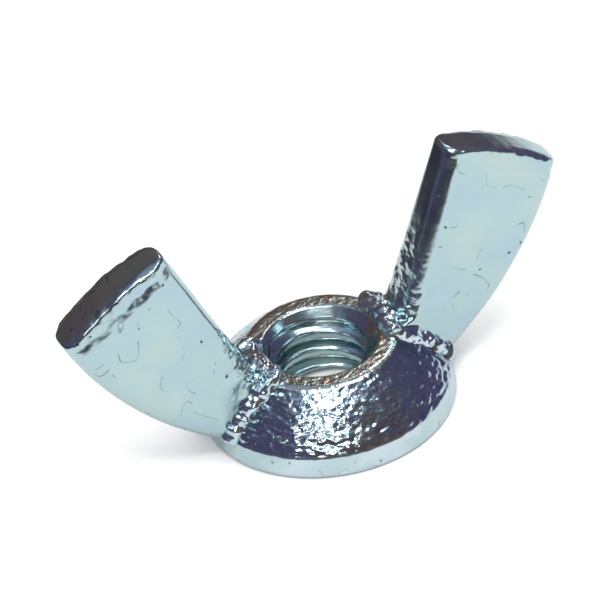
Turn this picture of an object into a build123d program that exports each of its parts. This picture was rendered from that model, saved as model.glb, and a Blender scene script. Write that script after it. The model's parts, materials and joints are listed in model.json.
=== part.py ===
# Forged wing nut, 1/4-20 UNC.
#
# The nut is a threaded boss with a flared base, and two wings that grow out of the boss.
# Each wing is a flat plate with well rounded long edges and a crowned tip face.
# Millimetres, +Z up along the thread, origin at the middle of the flat seat.
# The wings stand to either side along X, and their broad faces look along Y.

import os
from math import cos, radians, sin, tan

from build123d import *

# ---- Threaded hole ------------------------------------------------------------------------
THREAD_MINOR_RADIUS = 2.55
MOUTH_RADIUS = 3.35
SEAT_MOUTH_RADIUS = 2.95
COUNTERSINK_ANGLE = 45

# ---- Boss ---------------------------------------------------------------------------------
BOSS_HEIGHT = 4.3
BASE_RADIUS = 7.45
BASE_LIP_HEIGHT = 1.5
BASE_LIP_DRAFT = 0.2
BASE_EDGE_ROUND = 0.4
RING_RADIUS = 4.4
RING_EDGE_ROUND = 0.25
SHOULDER_CROWN = 0.15

# ---- Wings --------------------------------------------------------------------------------
WING_SPREAD = 31.2
NUT_HEIGHT = 14.6
TIP_FACE_WIDTH = 7.7
TIP_FACE_SLOPE = 28
TIP_CROWN = 0.5
OUTER_EDGE_BULGE = 1.2
WING_TIP_THICKNESS = 2.6
WING_ROOT_THICKNESS = 3.5
WING_EDGE_ROUND = 1.1
TIP_EDGE_ROUND = 0.3
ROOT_COVER = 0.35

os.makedirs("parts", exist_ok=True)


# ---- Boss ---------------------------------------------------------------------------------
# The half section is drawn in the XZ plane and turned about Z. Its side is a drafted lip at
# the base and a crowned shoulder up to the narrow flat ring that surrounds the mouth.
mouth_depth = (MOUTH_RADIUS - THREAD_MINOR_RADIUS) / tan(radians(COUNTERSINK_ANGLE))
seat_mouth_depth = (SEAT_MOUTH_RADIUS - THREAD_MINOR_RADIUS) / tan(radians(COUNTERSINK_ANGLE))

lip_top = (BASE_RADIUS - BASE_LIP_DRAFT, BASE_LIP_HEIGHT)
ring_edge = (RING_RADIUS, BOSS_HEIGHT)

with BuildPart() as boss:
    with BuildSketch(Plane.XZ):
        with BuildLine():
            Polyline(
                (THREAD_MINOR_RADIUS, seat_mouth_depth),
                (SEAT_MOUTH_RADIUS, 0),
                (BASE_RADIUS, 0),
                lip_top,
            )
            SagittaArc(lip_top, ring_edge, -SHOULDER_CROWN)
            Polyline(
                ring_edge,
                (MOUTH_RADIUS, BOSS_HEIGHT),
                (THREAD_MINOR_RADIUS, BOSS_HEIGHT - mouth_depth),
                (THREAD_MINOR_RADIUS, seat_mouth_depth),
            )
        make_face()
    revolve(axis=Axis.Z)
    seat_rims = boss.edges().filter_by(GeomType.CIRCLE).group_by(Axis.Z)[0]
    fillet(seat_rims.sort_by(lambda rim: rim.radius)[-1], BASE_EDGE_ROUND)
    top_rims = boss.edges().filter_by(GeomType.CIRCLE).group_by(Axis.Z)[-1]
    fillet(top_rims.sort_by(lambda rim: rim.radius)[-1], RING_EDGE_ROUND)

boss.part.label = "boss"
export_step(boss.part, "parts/boss.step")


# ---- Wings --------------------------------------------------------------------------------
# The profile of a wing in the XZ plane: a straight inner edge from the ring up to the tip,
# a crowned tip face that slopes outwards, and a bulging outer edge down to the base lip.
# Its root reaches a little way into the boss, but stays clear of the threaded hole.
# Seen from the side the wing is a wedge, thicker at the root, because a die needs draft.
tip_run = TIP_FACE_WIDTH * cos(radians(TIP_FACE_SLOPE))
tip_drop = TIP_FACE_WIDTH * sin(radians(TIP_FACE_SLOPE))
outer_tip = (WING_SPREAD / 2, NUT_HEIGHT - tip_drop)
inner_tip = (WING_SPREAD / 2 - tip_run, NUT_HEIGHT)
root_line = MOUTH_RADIUS + ROOT_COVER
base_root = (BASE_RADIUS - WING_EDGE_ROUND, BASE_EDGE_ROUND)

with BuildPart() as right_wing:
    with BuildSketch(Plane.XZ):
        with BuildLine():
            Line(ring_edge, inner_tip)
            SagittaArc(inner_tip, outer_tip, TIP_CROWN)
            SagittaArc(outer_tip, base_root, OUTER_EDGE_BULGE)
            Polyline(
                base_root,
                (root_line, BASE_LIP_HEIGHT),
                (root_line, BOSS_HEIGHT - RING_EDGE_ROUND),
                ring_edge,
            )
        make_face()
    extrude(amount=WING_ROOT_THICKNESS / 2, both=True)
    with BuildSketch(Plane.YZ):
        with BuildLine():
            Polyline(
                (-WING_ROOT_THICKNESS / 2, 0),
                (WING_ROOT_THICKNESS / 2, 0),
                (WING_TIP_THICKNESS / 2, NUT_HEIGHT),
                (-WING_TIP_THICKNESS / 2, NUT_HEIGHT),
                close=True,
            )
        make_face()
    extrude(amount=WING_SPREAD, mode=Mode.INTERSECT)
    long_edges = right_wing.edges().sort_by(SortBy.LENGTH)[-4:]
    fillet(long_edges, WING_EDGE_ROUND)
    tip_face = right_wing.faces().sort_by(Axis.Z)[-1]
    fillet(tip_face.edges(), TIP_EDGE_ROUND)
    add(boss.part, mode=Mode.SUBTRACT)

right_wing.part.label = "right_wing"
export_step(right_wing.part, "parts/right_wing.step")

with BuildPart() as left_wing:
    mirror(right_wing.part, about=Plane.YZ)

left_wing.part.label = "left_wing"
export_step(left_wing.part, "parts/left_wing.step")
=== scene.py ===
# %% [markdown]
# # A forged wing nut
# The real nut is one steel forging: a round threaded boss and two wings, cleaned, tapped and
# zinc plated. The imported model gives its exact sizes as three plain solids. This lesson keeps
# those sizes and gives each solid the skin that forging, tapping and plating leave behind.

# %% Load the fixed frame
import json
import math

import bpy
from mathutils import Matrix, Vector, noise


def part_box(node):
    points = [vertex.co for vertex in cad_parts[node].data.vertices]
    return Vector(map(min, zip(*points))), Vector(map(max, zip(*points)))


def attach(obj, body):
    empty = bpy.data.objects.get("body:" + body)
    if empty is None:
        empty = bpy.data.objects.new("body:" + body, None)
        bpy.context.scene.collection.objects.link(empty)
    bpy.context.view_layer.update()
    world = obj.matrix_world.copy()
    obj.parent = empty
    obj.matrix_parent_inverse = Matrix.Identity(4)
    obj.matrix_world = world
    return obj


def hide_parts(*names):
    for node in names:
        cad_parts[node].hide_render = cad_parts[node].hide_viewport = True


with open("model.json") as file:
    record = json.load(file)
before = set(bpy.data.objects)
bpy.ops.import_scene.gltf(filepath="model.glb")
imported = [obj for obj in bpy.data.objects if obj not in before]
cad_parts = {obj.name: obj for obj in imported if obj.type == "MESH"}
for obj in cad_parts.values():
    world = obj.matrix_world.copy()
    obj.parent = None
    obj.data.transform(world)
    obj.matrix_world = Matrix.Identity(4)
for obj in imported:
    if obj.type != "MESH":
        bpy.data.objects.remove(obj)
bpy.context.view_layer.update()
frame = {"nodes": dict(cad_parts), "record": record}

# %% [markdown]
# ## Units and small helpers
# The nut is only 31 mm wide, and Blender's tools have limits at that size: a remesh can't use
# a cell under a tenth of a millimetre. So each piece is shaped with one unit to the millimetre
# and shrunk into metres at the end. The helpers below read a box, pick the active object,
# apply a modifier, note the normals and finish a piece.

MILLIMETRE = 0.001


def only(piece):
    """Makes one piece the selected and active object."""
    bpy.ops.object.select_all(action="DESELECT")
    piece.select_set(True)
    bpy.context.view_layer.objects.active = piece


def apply_modifier(piece, kind, **settings):
    """Adds one modifier with these settings and applies it."""
    only(piece)
    modifier = piece.modifiers.new(kind.lower(), kind)
    for name, value in settings.items():
        setattr(modifier, name, value)
    bpy.ops.object.modifier_apply(modifier=modifier.name)


def outward_normals(piece):
    """The normals before any vertex moves, because each move makes Blender work them out again."""
    return [vertex.normal.copy() for vertex in piece.data.vertices]


def to_metres(piece):
    """Shrinks a piece that was shaped in millimetres, and smooths its shading."""
    piece.data.transform(Matrix.Scale(MILLIMETRE, 4))
    only(piece)
    bpy.ops.object.shade_smooth()
    print(piece.name, "faces:", len(piece.data.polygons))


# %% [markdown]
# ## Reading the sizes
# Nothing is measured twice. The boss's height and radius come from its box, and the hole's
# radius from the record's mount. The thread is 1/4-20: 20 turns to the inch.

# %% Sizes from the frame
boss_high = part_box("boss")[1]
BOSS_HEIGHT = boss_high[2] / MILLIMETRE
BASE_RADIUS = boss_high[0] / MILLIMETRE
hole = next(mount for mount in frame["record"]["mounts"] if mount["name"] == "threaded_hole")
MINOR_RADIUS = hole["dims"]["r_mm"]
MAJOR_RADIUS = 3.175
PITCH = 25.4 / 20
RING_RADIUS = 4.4
MOUTH_RADIUS = 3.35
SEAT_MOUTH_RADIUS = 2.95
LIP_HEIGHT = 1.5
LIP_DRAFT = 0.16
SHOULDER_CROWN = 0.15
print("boss height", round(BOSS_HEIGHT, 2), "base radius", round(BASE_RADIUS, 2))

# %% [markdown]
# ## The boss: a section spun about the thread
# On the real nut the boss is a turned-looking shape with a tapped hole. It could be a cylinder
# cut by booleans, but a thread cut that way leaves long thin faces that catch the light badly.
# Here the vertices of a circle are laid along the boss's half section, closely and evenly
# spaced, and the section is spun once around. The even grid is then fine enough to press the
# thread into the hole and the hammer marks into the shoulder.

# %% The half section of the boss
STEP = 0.085
CORNER_STEPS = 6


def rounded(points, radii):
    """Puts an arc-like curve of each radius at each corner of a closed outline."""
    outline = []
    for index, corner in enumerate(points):
        before = Vector(points[index - 1])
        corner = Vector(corner)
        after = Vector(points[(index + 1) % len(points)])
        reach = radii[index]
        start = corner + (before - corner).normalized() * reach
        end = corner + (after - corner).normalized() * reach
        for step in range(CORNER_STEPS + 1 if reach else 1):
            t = step / CORNER_STEPS
            outline.append(start * (1 - t) ** 2 + corner * 2 * t * (1 - t) + end * t ** 2)
    return outline


def evenly(outline, spacing):
    """Places points at an even spacing along a closed outline."""
    placed = []
    for index, start in enumerate(outline):
        end = outline[(index + 1) % len(outline)]
        count = max(1, round((end - start).length / spacing))
        placed += [start.lerp(end, step / count) for step in range(count)]
    return placed


def shoulder_point(share):
    """A point of the crowned shoulder, from the lip (0) to the ring (1)."""
    foot = Vector((BASE_RADIUS - LIP_DRAFT, LIP_HEIGHT))
    top = Vector((RING_RADIUS, BOSS_HEIGHT))
    out = Vector((top.y - foot.y, foot.x - top.x)).normalized()
    return foot.lerp(top, share) + out * SHOULDER_CROWN * 4 * share * (1 - share)


SHOULDER_STEPS = 6
shoulder = [shoulder_point(step / SHOULDER_STEPS) for step in range(SHOULDER_STEPS + 1)]
corners = [(SEAT_MOUTH_RADIUS, 0), (BASE_RADIUS, 0)]
corners += [tuple(point) for point in shoulder]
corners += [(MOUTH_RADIUS, BOSS_HEIGHT)]
corner_rounds = [0.08, 0.4, 0.3] + [0.2] * (SHOULDER_STEPS - 1) + [0.25, 0.12]
section = evenly(rounded(corners, corner_rounds), STEP)
print("section points:", len(section))

# %% Spin the section into the boss
TURNS = 288
bpy.ops.object.select_all(action="DESELECT")
bpy.ops.mesh.primitive_circle_add(vertices=len(section), radius=1)
boss = bpy.context.object
boss.name = "threaded_boss"
for vertex, point in zip(boss.data.vertices, section):
    vertex.co = (point.x, 0, point.y)
bpy.ops.object.mode_set(mode="EDIT")
bpy.ops.mesh.select_all(action="SELECT")
bpy.ops.mesh.spin(steps=TURNS, angle=math.tau, center=(0, 0, 0), axis=(0, 0, 1))
bpy.ops.mesh.select_all(action="SELECT")
bpy.ops.mesh.remove_doubles(threshold=STEP / 20)
bpy.ops.mesh.normals_make_consistent(inside=False)
bpy.ops.object.mode_set(mode="OBJECT")

# %% [markdown]
# ## The thread
# A 60 degree thread is a V groove that climbs one pitch each turn, with a small flat at its
# bottom and the hole's own wall as its crest. For any place on the wall, the height and the
# angle together say how far it is from the middle of the groove, and that gives the radius.
# The countersinks at both mouths cut the thread off, because the larger radius wins.

# %% Press the thread into the hole
WALL_LIMIT = MAJOR_RADIUS + 0.2
FLANK = math.tan(math.radians(60))
GROOVE_FLAT = PITCH / 16


def groove_radius(angle, height):
    turn = height / PITCH - angle / math.tau
    from_groove = abs(turn - math.floor(turn) - 0.5) * PITCH
    radius = MAJOR_RADIUS - FLANK * max(0.0, from_groove - GROOVE_FLAT)
    return max(MINOR_RADIUS, radius)


def hole_radius(angle, height):
    mouth = MOUTH_RADIUS - (BOSS_HEIGHT - height)
    seat_mouth = SEAT_MOUTH_RADIUS - height
    return max(groove_radius(angle, height), mouth, seat_mouth)


# %% [markdown]
# ## Marks left by the forging dies
# The shoulder is not smooth. Scale and hammer marks leave low lumps, and they are strongest
# where each wing's flank runs into the boss. Noise at two scales, moved along the vertex
# normals, gives the lumps, and a mask keeps the ring, the seat and the thread clean.

# %% Shape the wall, then roughen the shoulder
FLANK_HALF = 1.65
LUMP_SIZE = 0.55
LUMP_HEIGHT = 0.11
GRAIN_SIZE = 0.24
GRAIN_HEIGHT = 0.045
CREASE_START = 0.2
CREASE_INNER = 3.0
CREASE_OUTER = 4.5
CREASE_LOW = 0.8
CREASE_HIGH = 2.0
RING_INSIDE = 0.2
RING_OUTSIDE = 0.3
LIP_BELOW = 0.15
LIP_ABOVE = 0.1
CREASE_REACH = 1.5
UPRIGHT_LIMIT = 0.9
ROUGH_TOP = 3.6
ROUGH_RISE = 1.6
SHOULDER_LUMPS = 0.14
LOW_LUMPS = 0.24
SHOULDER_GRAIN = 0.5
LOW_GRAIN = 0.7


def fade(value, low, high):
    """0 below low, 1 above high, and an even rise between."""
    return min(1.0, max(0.0, (value - low) / (high - low)))


def lumps(place, size):
    return noise.noise(place / size) + 0.5 * noise.noise(place / size * 2.3)


def beside_wing(place):
    """1 at the crease between boss and wing, and 0 a little way round from it."""
    from_flank = abs(abs(place.y) - FLANK_HALF)
    return 1 - fade(from_flank, CREASE_START, CREASE_REACH)


for vertex, normal in zip(boss.data.vertices, outward_normals(boss)):
    place = vertex.co.copy()
    radius = math.hypot(place.x, place.y)
    angle = math.atan2(place.y, place.x)
    if radius < WALL_LIMIT and abs(normal.z) < UPRIGHT_LIMIT:
        wall = hole_radius(angle, place.z)
        vertex.co = (wall * math.cos(angle), wall * math.sin(angle), place.z)
        continue
    on_side = fade(radius, RING_RADIUS - RING_INSIDE, RING_RADIUS + RING_OUTSIDE)
    on_side *= fade(place.z, LIP_HEIGHT - LIP_BELOW, LIP_HEIGHT + LIP_ABOVE)
    at_crease = beside_wing(place) * fade(abs(place.x), CREASE_INNER, CREASE_OUTER)
    at_crease *= fade(place.z, CREASE_LOW, CREASE_HIGH)
    low = fade(ROUGH_TOP - place.z, 0.0, ROUGH_RISE)
    lump_share = SHOULDER_LUMPS + LOW_LUMPS * low + at_crease
    grain_share = SHOULDER_GRAIN + LOW_GRAIN * low + at_crease
    height = LUMP_HEIGHT * lumps(place, LUMP_SIZE) * lump_share
    height += GRAIN_HEIGHT * lumps(place, GRAIN_SIZE) * grain_share
    vertex.co += normal * (height - GRAIN_HEIGHT) * on_side
to_metres(boss)
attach(boss, "root")
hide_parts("boss")

# %% [markdown]
# ## The wings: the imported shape, given a forged skin
# Each wing is a plate with rounded long edges and a crowned tip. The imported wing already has
# that form, but its long thin triangles can't hold surface detail. A copy of it is merged and
# remeshed into small even cells, smoothed, and then worked: the plate is a little uneven,
# the rim of the tip wanders in and out, and a faint step shows where the boss die pressed.

# %% A helper that forges one wing
CELL = 0.085
WAVE_SIZE = 3.0
WAVE_HEIGHT = 0.035
RIM_SIZE = 0.9
RIM_HEIGHT = 0.07
DIE_RADIUS = 7.55
DIE_STEP = 0.05
DIE_EDGE = 0.08
DIE_TOP = 5.4
DIE_FADE = 0.3
ROOT_START = 5.2
ROOT_END = 7.0
ROOT_ROUGHNESS = 0.07
TIP_SLANT = 0.53
TIP_START = 18.1
TIP_END = 18.7
RIM_START = 0.7
RIM_END = 1.1
KEEP_INSIDE = 0.03
MERGE_DISTANCE = 0.0005


def forge_wing(node, name, seed):
    """Copies a packed wing, remeshes it finely and gives it a forged surface."""
    wing = bpy.data.objects.new(name, frame["nodes"][node].data.copy())
    bpy.context.scene.collection.objects.link(wing)
    wing.data.materials.clear()
    wing.data.transform(Matrix.Scale(1 / MILLIMETRE, 4))
    only(wing)
    bpy.ops.object.mode_set(mode="EDIT")
    bpy.ops.mesh.select_all(action="SELECT")
    bpy.ops.mesh.remove_doubles(threshold=MERGE_DISTANCE)
    bpy.ops.object.mode_set(mode="OBJECT")
    apply_modifier(wing, "REMESH", mode="VOXEL", voxel_size=CELL, adaptivity=0.0)
    apply_modifier(wing, "SMOOTH", factor=0.5, iterations=6)
    shift = Vector((seed, seed * 2.1, 0))
    for vertex, normal in zip(wing.data.vertices, outward_normals(wing)):
        place = vertex.co.copy()
        tip = fade(place.z + TIP_SLANT * abs(place.x), TIP_START, TIP_END)
        rim = tip * fade(abs(place.y), RIM_START, RIM_END)
        wave = WAVE_HEIGHT * noise.noise((place + shift) / WAVE_SIZE)
        edge = RIM_HEIGHT * lumps(place + shift, RIM_SIZE) * rim
        radius = math.hypot(place.x, place.y)
        step = DIE_STEP * (1 - fade(radius, DIE_RADIUS - DIE_EDGE, DIE_RADIUS + DIE_EDGE))
        step *= fade(DIE_TOP - place.z, 0, DIE_FADE)
        root = 1 - fade(radius, ROOT_START, ROOT_END)
        rough = ROOT_ROUGHNESS * lumps(place + shift, LUMP_SIZE) * root
        vertex.co += normal * (wave + edge + step + rough - KEEP_INSIDE - RIM_HEIGHT * rim)
    to_metres(wing)
    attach(wing, "root")
    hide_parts(node)
    return wing


# %% Forge both wings
left_wing = forge_wing("left_wing", "left_wing_forging", seed=3.0)
right_wing = forge_wing("right_wing", "right_wing_forging", seed=11.0)

# %% [markdown]
# ## The rough roots
# Where each wing leaves the boss, metal was squeezed out and folded over, and it was never
# cleaned off. It is a lumpy bead that climbs one flank, crosses the wing's inner edge at the
# ring, and runs down the other flank. A bead is a swept round, cut into fine rings and
# then pushed about by noise, half sunk in the metal so that only its lumps stand out.

# %% The bead's path
BEAD_FOOT = 0.9
PATH_STEPS = 160
SUNK = 0.3


def shoulder_radius(height):
    """The boss's radius at a height, from the shoulder's own curve."""
    if height <= LIP_HEIGHT:
        return BASE_RADIUS - LIP_DRAFT * height / LIP_HEIGHT
    share = (height - LIP_HEIGHT) / (BOSS_HEIGHT - LIP_HEIGHT)
    return shoulder_point(share).x


def bead_point(share):
    """A point along the crease: 0 is the near foot, 0.5 the ring, 1 the far foot."""
    side = -1 if share < 0.5 else 1
    climb = 1 - abs(2 * share - 1)
    across = fade(climb, 0.8, 1.0)
    height = BEAD_FOOT + (BOSS_HEIGHT - BEAD_FOOT) * fade(climb, 0.0, 0.85)
    y = side * FLANK_HALF * math.cos(across * math.pi / 2)
    radius = shoulder_radius(min(height, BOSS_HEIGHT)) - SUNK
    return Vector((math.sqrt(max(0.0, radius ** 2 - y ** 2)), y, height))


# %% A helper that lays one bead
BEAD_SIDES = 28
BEAD_RADIUS = 0.72
BEAD_LUMPS = 0.2
BEAD_LUMP_SIZE = 0.62
BEAD_GRAIN = 0.02
BEAD_END = 0.06
END_WIDTH = 0.35
WIDTH_WANDER = 0.25
WANDER_RATE = 17


def lay_bead(name, mirror, seed):
    """Sweeps a round along the crease, closes it, and pushes it into lumps."""
    path = bpy.data.curves.new(name, "CURVE")
    path.dimensions = "3D"
    path.bevel_depth = BEAD_RADIUS
    path.bevel_resolution = BEAD_SIDES // 4
    path.use_fill_caps = True
    spline = path.splines.new("POLY")
    spline.points.add(PATH_STEPS - 1)
    for index, point in enumerate(spline.points):
        share = index / (PATH_STEPS - 1)
        place = bead_point(share)
        point.co = (place.x * mirror, place.y, place.z, 1)
        ends = fade(min(share, 1 - share), 0.0, BEAD_END)
        wander = WIDTH_WANDER * noise.noise(Vector((share * WANDER_RATE, seed, 0)))
        point.radius = END_WIDTH + (1 - END_WIDTH) * ends + wander
    bead = bpy.data.objects.new(name, path)
    bpy.context.scene.collection.objects.link(bead)
    only(bead)
    bpy.ops.object.convert(target="MESH")
    apply_modifier(bead, "REMESH", mode="VOXEL", voxel_size=CELL, adaptivity=0.0)
    shift = Vector((seed, 0, seed))
    for vertex, normal in zip(bead.data.vertices, outward_normals(bead)):
        push = BEAD_LUMPS * lumps(vertex.co + shift, BEAD_LUMP_SIZE)
        push += BEAD_GRAIN * lumps(vertex.co + shift, GRAIN_SIZE)
        vertex.co += normal * push
    apply_modifier(bead, "SMOOTH", factor=0.5, iterations=4)
    to_metres(bead)
    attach(bead, "root")
    return bead


# %% Lay both beads
left_bead = lay_bead("left_root_flash", -1, seed=5.0)
right_bead = lay_bead("right_root_flash", 1, seed=9.0)

# %% [markdown]
# ## Bright zinc
# Zinc plate is a bright, slightly blue metal. Its surface is never even: the plating is
# cloudy, small pits stay dark, and fine scratches run across it. These marks are wanted on
# every piece in different strengths, so they are one node group that puts out a cloud, a mask
# of pits and scratches, a roughness and a height. Each material then places the group with its own values.

# %% The plating's marks as a node group
RAGGED_SCALE = 5000
RAGGED_REACH = 0.0003
PIT_SOFTNESS = 0.06
PIT_RARITY = 0.72
PIT_DEPTH = -1.5
HAIR_WIDTH = 0.005
HAIR_DARKNESS = 0.45
HAIR_BREAK_SCALE = 900
HAIR_BREAK = 0.53
marks = bpy.data.node_groups.new("plating_marks", "ShaderNodeTree")
MARK_SETTINGS = (
    "Cloud Scale", "Pit Scale", "Pit Amount", "Base Roughness", "Roughness Spread", "Lump Scale",
)
for label in MARK_SETTINGS:
    marks.interface.new_socket(label, in_out="INPUT", socket_type="NodeSocketFloat")
for label in ("Cloud", "Pits", "Roughness", "Height"):
    marks.interface.new_socket(label, in_out="OUTPUT", socket_type="NodeSocketFloat")


def add_node(tree, kind, place, **settings):
    node = tree.nodes.new(kind)
    node.location = place
    for name, value in settings.items():
        setattr(node, name, value)
    return node


def join(tree, source, target):
    tree.links.new(source, target)


def calculate(tree, operation, first, second, place):
    """A Math node whose inputs are sockets or numbers."""
    node = add_node(tree, "ShaderNodeMath", place, operation=operation)
    for slot, value in zip(node.inputs, (first, second)):
        if isinstance(value, (int, float)):
            slot.default_value = value
        else:
            join(tree, value, slot)
    return node.outputs[0]


inside = add_node(marks, "NodeGroupInput", (-900, 0))
outside = add_node(marks, "NodeGroupOutput", (900, 0))
where = add_node(marks, "ShaderNodeTexCoord", (-900, -300)).outputs["Object"]

cloud = add_node(marks, "ShaderNodeTexNoise", (-600, 200))
cloud.inputs["Detail"].default_value = 6
cloud.inputs["Roughness"].default_value = 0.6
join(marks, where, cloud.inputs["Vector"])
join(marks, inside.outputs["Cloud Scale"], cloud.inputs["Scale"])
join(marks, cloud.outputs["Fac"], outside.inputs["Cloud"])

ragged = add_node(marks, "ShaderNodeTexNoise", (-1000, -100))
ragged.inputs["Scale"].default_value = RAGGED_SCALE
join(marks, where, ragged.inputs["Vector"])
raggedness = add_node(marks, "ShaderNodeVectorMath", (-850, -100), operation="SCALE")
raggedness.inputs["Scale"].default_value = RAGGED_REACH
join(marks, ragged.outputs["Color"], raggedness.inputs[0])
nudged = add_node(marks, "ShaderNodeVectorMath", (-720, -100), operation="ADD")
join(marks, where, nudged.inputs[0])
join(marks, raggedness.outputs["Vector"], nudged.inputs[1])
pits = add_node(marks, "ShaderNodeTexVoronoi", (-600, -100))
join(marks, nudged.outputs["Vector"], pits.inputs["Vector"])
join(marks, inside.outputs["Pit Scale"], pits.inputs["Scale"])
pit_size = inside.outputs["Pit Amount"]
pit_edge = calculate(marks, "SUBTRACT", pit_size, pits.outputs["Distance"], (-400, -100))
pit_mask = add_node(marks, "ShaderNodeMapRange", (-200, -100))
pit_mask.inputs["From Max"].default_value = PIT_SOFTNESS
join(marks, pit_edge, pit_mask.inputs["Value"])
chance = add_node(marks, "ShaderNodeSeparateColor", (-400, -300))
join(marks, pits.outputs["Color"], chance.inputs["Color"])
rare = calculate(marks, "GREATER_THAN", chance.outputs[0], PIT_RARITY, (-200, -300))
pit_mark = calculate(marks, "MULTIPLY", pit_mask.outputs["Result"], rare, (0, -150))

spread = inside.outputs["Roughness Spread"]
uneven = calculate(marks, "MULTIPLY", cloud.outputs["Fac"], spread, (0, 200))
rough = calculate(marks, "ADD", uneven, inside.outputs["Base Roughness"], (200, 200))
join(marks, rough, outside.inputs["Roughness"])

lump = add_node(marks, "ShaderNodeTexNoise", (-600, -500))
lump.inputs["Detail"].default_value = 3
join(marks, where, lump.inputs["Vector"])
join(marks, inside.outputs["Lump Scale"], lump.inputs["Scale"])
hair = add_node(marks, "ShaderNodeTexNoise", (-600, -800))
hair.inputs["Detail"].default_value = 1
join(marks, where, hair.inputs["Vector"])
join(marks, inside.outputs["Cloud Scale"], hair.inputs["Scale"])
centred = calculate(marks, "SUBTRACT", hair.outputs["Fac"], 0.5, (-400, -800))
from_middle = calculate(marks, "ABSOLUTE", centred, 0, (-300, -800))
thin = calculate(marks, "LESS_THAN", from_middle, HAIR_WIDTH, (-200, -800))
broken = add_node(marks, "ShaderNodeTexNoise", (-600, -1000))
broken.inputs["Scale"].default_value = HAIR_BREAK_SCALE
join(marks, where, broken.inputs["Vector"])
seen = calculate(marks, "GREATER_THAN", broken.outputs["Fac"], HAIR_BREAK, (-400, -1000))
hairline = calculate(marks, "MULTIPLY", thin, seen, (-100, -800))
hair_mark = calculate(marks, "MULTIPLY", hairline, HAIR_DARKNESS, (0, -800))
all_marks = calculate(marks, "MAXIMUM", pit_mark, hair_mark, (100, -100))
join(marks, all_marks, outside.inputs["Pits"])
sunk_pits = calculate(marks, "MULTIPLY", pit_mark, PIT_DEPTH, (200, -300))
height = calculate(marks, "ADD", lump.outputs["Fac"], sunk_pits, (400, -300))
join(marks, height, outside.inputs["Height"])

# %% [markdown]
# ## Finishes
# All of them are the same zinc, and differ in how rough the metal under it was. A ramp over
# the cloud gives the faint blue, straw and violet of the plating's bright dip. The ring's brown
# tints and the lip's pale ones are painted reflection: they paint in the brown the ring
# mirrors and the light the lip takes from the near floor.

# %% A helper that makes one zinc finish


def zinc(name, values, tints, bump):
    """A plated steel finish: group values by input name, and the tints of its cloud."""
    material = bpy.data.materials.new(name)
    material.use_nodes = True
    tree = material.node_tree
    shader = tree.nodes["Principled BSDF"]
    shader.inputs["Metallic"].default_value = 1.0
    group = add_node(tree, "ShaderNodeGroup", (-800, 0), node_tree=marks)
    for label, value in values.items():
        group.inputs[label].default_value = value
    ramp = add_node(tree, "ShaderNodeValToRGB", (-550, 200))
    stops = ramp.color_ramp.elements
    stops[0].position = 0.3
    stops[1].position = 0.7
    for _ in tints[2:]:
        stops.new(0.5)
    for index, tint in enumerate(tints):
        stops[index].position = 0.3 + 0.4 * index / (len(tints) - 1)
        stops[index].color = (*tint, 1)
    join(tree, group.outputs["Cloud"], ramp.inputs["Fac"])
    darken = add_node(tree, "ShaderNodeMix", (-250, 200), data_type="RGBA")
    darken.inputs["B"].default_value = (0.05, 0.05, 0.06, 1)
    join(tree, group.outputs["Pits"], darken.inputs["Factor"])
    join(tree, ramp.outputs["Color"], darken.inputs["A"])
    join(tree, darken.outputs["Result"], shader.inputs["Base Color"])
    join(tree, group.outputs["Roughness"], shader.inputs["Roughness"])
    relief = add_node(tree, "ShaderNodeBump", (-250, -200))
    relief.inputs["Strength"].default_value = bump
    relief.inputs["Distance"].default_value = 0.05 * MILLIMETRE
    join(tree, group.outputs["Height"], relief.inputs["Height"])
    join(tree, relief.outputs["Normal"], shader.inputs["Normal"])
    return material


# %% Make the finishes and put them on
BRIGHT = (0.62, 0.74, 0.79)
PALE = (0.44, 0.60, 0.62)
BLUE = (0.42, 0.56, 0.65)
STRAW = (0.50, 0.62, 0.60)
VIOLET = (0.40, 0.37, 0.58)
# Brown is used only on the ring, as a painted reflection of the brown the ring mirrors.
RING_REFLECTION_BROWN = (0.60, 0.50, 0.40)

smooth_zinc = zinc(
    "smooth_zinc",
    {"Cloud Scale": 420, "Pit Scale": 1100, "Pit Amount": 0.13, "Base Roughness": 0.12,
     "Roughness Spread": 0.14, "Lump Scale": 1500},
    [BLUE, PALE, STRAW], bump=0.35)
shoulder_zinc = zinc(
    "shoulder_zinc",
    {"Cloud Scale": 1300, "Pit Scale": 2600, "Pit Amount": 0.18, "Base Roughness": 0.08,
     "Roughness Spread": 0.15, "Lump Scale": 2400},
    [VIOLET, PALE, BLUE, BRIGHT], bump=1.0)
# The ring's brown tints are a painted reflection of the brown the ring mirrors.
ring_zinc_painted_reflection = zinc(
    "ring_zinc_painted_reflection",
    {"Cloud Scale": 1300, "Pit Scale": 2600, "Pit Amount": 0.18, "Base Roughness": 0.10,
     "Roughness Spread": 0.15, "Lump Scale": 2600},
    [RING_REFLECTION_BROWN, STRAW, RING_REFLECTION_BROWN], bump=0.8)
flash_zinc = zinc(
    "flash_zinc",
    {"Cloud Scale": 900, "Pit Scale": 2600, "Pit Amount": 0.12, "Base Roughness": 0.10,
     "Roughness Spread": 0.15, "Lump Scale": 2200},
    [BLUE, BRIGHT, PALE], bump=0.4)
# The lip's pale tints are a painted reflection of the near floor that the lip mirrors.
lip_zinc_painted_reflection = zinc(
    "lip_zinc_painted_reflection",
    {"Cloud Scale": 500, "Pit Scale": 1100, "Pit Amount": 0.11, "Base Roughness": 0.14,
     "Roughness Spread": 0.12, "Lump Scale": 1300},
    [PALE, BRIGHT], bump=0.25)

for piece, finish in (
    (left_wing, smooth_zinc), (right_wing, smooth_zinc), (boss, shoulder_zinc),
    (left_bead, flash_zinc), (right_bead, flash_zinc),
):
    piece.data.materials.clear()
    piece.data.materials.append(finish)
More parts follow.
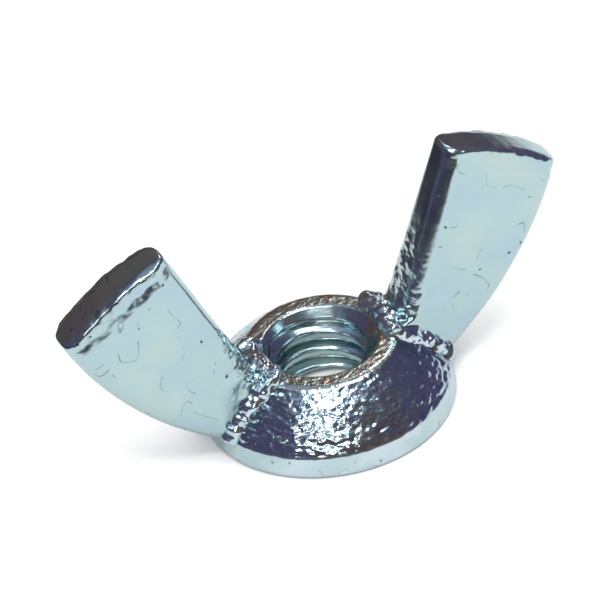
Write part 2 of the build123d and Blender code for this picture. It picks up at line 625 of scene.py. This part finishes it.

# %% [markdown]
# The lip and the seat were pressed clean and the thread was cut, so they take smoother
# finishes. The lip's finish is also paler, a painted reflection of the near floor it mirrors.
# The shoulder keeps the rough one, and the ring is a little browner, a painted reflection of
# the brown it mirrors. Faces are chosen by their place.

# %% Give the clean parts of the boss their finishes
MOUTH_EDGE = MOUTH_RADIUS - 0.1
RING_EDGE = RING_RADIUS + 0.1
RING_FLOOR = BOSS_HEIGHT - 0.3
SHOULDER_SLOT, HOLE_SLOT, LIP_SLOT, RING_SLOT = 0, 1, 2, 3
boss.data.materials.append(smooth_zinc)
boss.data.materials.append(lip_zinc_painted_reflection)
boss.data.materials.append(ring_zinc_painted_reflection)
for face in boss.data.polygons:
    out = math.hypot(face.center.x, face.center.y) / MILLIMETRE
    high = face.center.z / MILLIMETRE
    if out < MOUTH_EDGE:
        face.material_index = HOLE_SLOT
    elif high < LIP_HEIGHT:
        face.material_index = LIP_SLOT
    elif out < RING_EDGE and high > RING_FLOOR:
        face.material_index = RING_SLOT
    else:
        face.material_index = SHOULDER_SLOT

# %% [markdown]
# ## A studio for bright metal
# Bright metal shows its surroundings more than itself, so the surroundings are the real work.
# The floor is pale, which fills the wings' broad faces. As the metal mirrors it, it is a
# little shaded, and to the left it turns dark a short way out, which draws the dark band down
# the right wing's inner edge. The world lights the floor evenly, but what the metal mirrors
# above the floor is a dark room, which gives the tip faces their near black. Four small soft
# boxes give the gleams on the shoulder, the rims, the thread and the ring.

# %% Floor
FLOOR_SIZE = 3.0
PAPER_EDGE = 0.024
PAPER_FADE = 0.012
PAPER_SHADE = 0.25
PAPER_COLOUR = (0.93, 0.93, 0.93, 1)
TABLE_COLOUR = (0.035, 0.025, 0.035, 1)
bpy.ops.object.select_all(action="DESELECT")
bpy.ops.mesh.primitive_plane_add(size=FLOOR_SIZE)
floor = bpy.context.object
floor.name = "studio_floor"
paper = bpy.data.materials.new("pale_paper")
paper.use_nodes = True
sheet = paper.node_tree
paper_shader = sheet.nodes["Principled BSDF"]
paper_shader.inputs["Base Color"].default_value = PAPER_COLOUR
paper_shader.inputs["Roughness"].default_value = 0.9
paper_shader.inputs["Specular IOR Level"].default_value = 0.0
paper_place = add_node(sheet, "ShaderNodeTexCoord", (-900, 0))
from_nut = add_node(sheet, "ShaderNodeVectorMath", (-700, 0), operation="LENGTH")
join(sheet, paper_place.outputs["Object"], from_nut.inputs[0])
beyond = add_node(sheet, "ShaderNodeMapRange", (-500, 0))
beyond.inputs["From Min"].default_value = PAPER_EDGE
beyond.inputs["From Max"].default_value = PAPER_EDGE + PAPER_FADE
join(sheet, from_nut.outputs["Value"], beyond.inputs["Value"])
paper_ray = add_node(sheet, "ShaderNodeLightPath", (-500, 300))
paper_parts = add_node(sheet, "ShaderNodeSeparateXYZ", (-700, -200))
join(sheet, paper_place.outputs["Object"], paper_parts.inputs["Vector"])
to_left = calculate(sheet, "LESS_THAN", paper_parts.outputs["X"], 0.0, (-500, -200))
left_table = calculate(sheet, "MULTIPLY", beyond.outputs["Result"], to_left, (-300, 0))
shaded = calculate(sheet, "MAXIMUM", left_table, PAPER_SHADE, (-150, 0))
unlit = calculate(sheet, "MULTIPLY", shaded, paper_ray.outputs["Is Glossy Ray"], (0, 200))
table = add_node(sheet, "ShaderNodeBsdfDiffuse", (-300, -300))
table.inputs["Color"].default_value = TABLE_COLOUR
surface = add_node(sheet, "ShaderNodeMixShader", (300, 0))
join(sheet, unlit, surface.inputs["Fac"])
join(sheet, paper_shader.outputs["BSDF"], surface.inputs[1])
join(sheet, table.outputs["BSDF"], surface.inputs[2])
join(sheet, surface.outputs["Shader"], sheet.nodes["Material Output"].inputs["Surface"])
floor.data.materials.append(paper)

# %% World: even white light, and a dark room in the mirror of the metal
SIDE_START = 0.5
SIDE_END = 0.8
SIDE_TINT = (0.10, 0.075, 0.16, 1)
world = bpy.data.worlds.new("studio")
bpy.context.scene.world = world
world.use_nodes = True
sky = world.node_tree
sky.nodes.clear()
ray = add_node(sky, "ShaderNodeLightPath", (-600, 300))
direction = add_node(sky, "ShaderNodeTexCoord", (-900, 0))
parts = add_node(sky, "ShaderNodeSeparateXYZ", (-700, 0))
join(sky, direction.outputs["Generated"], parts.inputs["Vector"])
room = add_node(sky, "ShaderNodeValToRGB", (-500, 0))
to_side = calculate(sky, "ABSOLUTE", parts.outputs["X"], 0.0, (-500, -300))
side_share = add_node(sky, "ShaderNodeMapRange", (-350, -300))
side_share.inputs["From Min"].default_value = SIDE_START
side_share.inputs["From Max"].default_value = SIDE_END
join(sky, to_side, side_share.inputs["Value"])
tinted_room = add_node(sky, "ShaderNodeMix", (-350, -50), data_type="RGBA")
tinted_room.inputs["B"].default_value = SIDE_TINT
join(sky, side_share.outputs["Result"], tinted_room.inputs["Factor"])
ROOM = [
    (0.00, (0.30, 0.34, 0.29)),
    (0.05, (0.22, 0.24, 0.20)),
    (0.12, (0.11, 0.07, 0.04)),
    (0.50, (0.13, 0.07, 0.09)),
    (0.62, (0.16, 0.12, 0.09)),
    (0.76, (0.09, 0.08, 0.12)),
    (0.90, (0.34, 0.38, 0.50)),
]
stops = room.color_ramp.elements
for _ in ROOM[2:]:
    stops.new(0.5)
for stop, (level, tint) in zip(stops, ROOM):
    stop.position = level
    stop.color = (*tint, 1)
join(sky, parts.outputs["Z"], room.inputs["Fac"])
mirror_light = add_node(sky, "ShaderNodeBackground", (-200, 0))
join(sky, room.outputs["Color"], tinted_room.inputs["A"])
join(sky, tinted_room.outputs["Result"], mirror_light.inputs["Color"])
even_light = add_node(sky, "ShaderNodeBackground", (-200, 200))
even_light.inputs["Color"].default_value = (1, 1, 1, 1)
even_light.inputs["Strength"].default_value = 1.0
choose = add_node(sky, "ShaderNodeMixShader", (50, 100))
join(sky, ray.outputs["Is Glossy Ray"], choose.inputs["Fac"])
join(sky, even_light.outputs["Background"], choose.inputs[1])
join(sky, mirror_light.outputs["Background"], choose.inputs[2])
world_out = add_node(sky, "ShaderNodeOutputWorld", (250, 100))
join(sky, choose.outputs["Shader"], world_out.inputs["Surface"])


# %% Soft box


def soft_box(name, direction, distance, size, power):
    """An area light that looks at the nut from a direction."""
    lamp = bpy.data.lights.new(name, "AREA")
    lamp.shape = "RECTANGLE"
    lamp.size, lamp.size_y = size
    lamp.energy = power
    holder = bpy.data.objects.new(name, lamp)
    bpy.context.scene.collection.objects.link(holder)
    holder.location = Vector(direction).normalized() * distance
    holder.rotation_euler = Vector(direction).to_track_quat("Z", "Y").to_euler()
    return holder


BOX_DISTANCE = 0.2
soft_box("shoulder_box", (-0.19, -0.35, 0.92), BOX_DISTANCE, (0.09, 0.035), 0.11)
soft_box("rim_box", (-0.42, -0.62, 0.66), BOX_DISTANCE, (0.12, 0.02), 0.05)
soft_box("thread_box", (0.27, -0.13, 0.95), BOX_DISTANCE, (0.06, 0.06), 0.09)
soft_box("ring_box", (0.40, 0.58, 0.71), BOX_DISTANCE, (0.05, 0.03), 0.02)

# %% [markdown]
# ## Camera
# The view is from the front left and well above, with the camera turned a little about its
# own axis. A long lens from far off keeps the round base a true ellipse.

# %% Camera
AZIMUTH = math.radians(-20.94)
ELEVATION = math.radians(36.58)
ROLL = math.radians(-8.47)
DISTANCE = 0.4
VIEW_WIDTH = 0.03444
ASIDE = -0.00169
ABOVE = 0.00571

back = Vector((
    math.sin(AZIMUTH) * math.cos(ELEVATION),
    -math.cos(AZIMUTH) * math.cos(ELEVATION),
    math.sin(ELEVATION),
))
level = Vector((math.cos(AZIMUTH), math.sin(AZIMUTH), 0))
upright = back.cross(level)
right = level * math.cos(ROLL) + upright * math.sin(ROLL)
up = upright * math.cos(ROLL) - level * math.sin(ROLL)
lens = bpy.data.cameras.new("camera")
lens.sensor_width = 36
lens.lens = lens.sensor_width * DISTANCE / VIEW_WIDTH
lens.clip_start = 0.01
camera = bpy.data.objects.new("camera", lens)
bpy.context.scene.collection.objects.link(camera)
turn = Matrix((right, up, back)).transposed().to_4x4()
camera.matrix_world = Matrix.Translation(right * ASIDE + up * ABOVE + back * DISTANCE) @ turn
bpy.context.scene.camera = camera
bpy.context.scene.view_settings.view_transform = "Standard"
